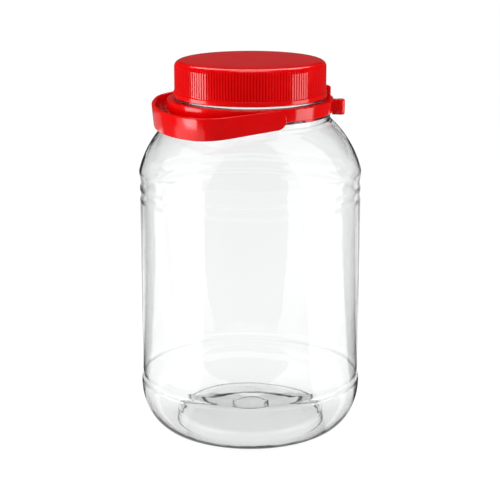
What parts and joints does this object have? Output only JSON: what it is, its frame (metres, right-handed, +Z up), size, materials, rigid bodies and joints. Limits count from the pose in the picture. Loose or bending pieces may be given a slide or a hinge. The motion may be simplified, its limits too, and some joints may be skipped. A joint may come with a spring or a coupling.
{
  "type": "wide-mouth storage jar with carry handle",
  "caption": "Clear plastic wide-mouth jar with a ribbed red screw cap and a red bail handle that swings on a collar round the neck.",
  "frame": {"origin": "centre of the standing ring, on the surface the jar stands on", "axes": "+Z up along the jar's axis; the handle's grip hangs towards -X and the collar's lug points towards +X"},
  "size_m": [0.1718, 0.1718, 0.2899],
  "materials": {
    "clear_pet": "clear gloss",
    "red_plastic": "gloss",
    "foam": "matte foam"
  },
  "bodies": {
    "jar_body": {"jar": "clear_pet", "jar_neck": "clear_pet"},
    "liner_body": {"cap_liner": "foam"},
    "cap_body": {"screw_cap": "red_plastic"},
    "collar_body": {"neck_collar": "red_plastic"},
    "handle_body": {"carry_handle": "red_plastic"}
  },
  "joints": [
    {"name": "cap_lift", "type": "slide", "parent": "jar_body", "child": "liner_body", "axis": [0, 0, 1], "range_m": [0, 0.0301]},
    {"name": "cap_turn", "type": "hinge", "parent": "liner_body", "child": "cap_body", "pos_m": [0, 0, 0.2877], "axis": [0, 0, 1], "range_deg": [0, 1800]},
    {"name": "collar_turn", "type": "hinge", "parent": "jar_body", "child": "collar_body", "pos_m": [0, 0, 0.2557], "axis": [0, 0, 1], "continuous": true},
    {"name": "handle_swing", "type": "hinge", "parent": "collar_body", "child": "handle_body", "pos_m": [0, 0, 0.2536], "axis": [-0.2924, 0.9563, 0], "range_deg": [0, 172]}
  ],
  "couplings": [
    {"joint": "cap_lift", "follows": "cap_turn", "m_per_rad": 0.00095493}
  ]
}
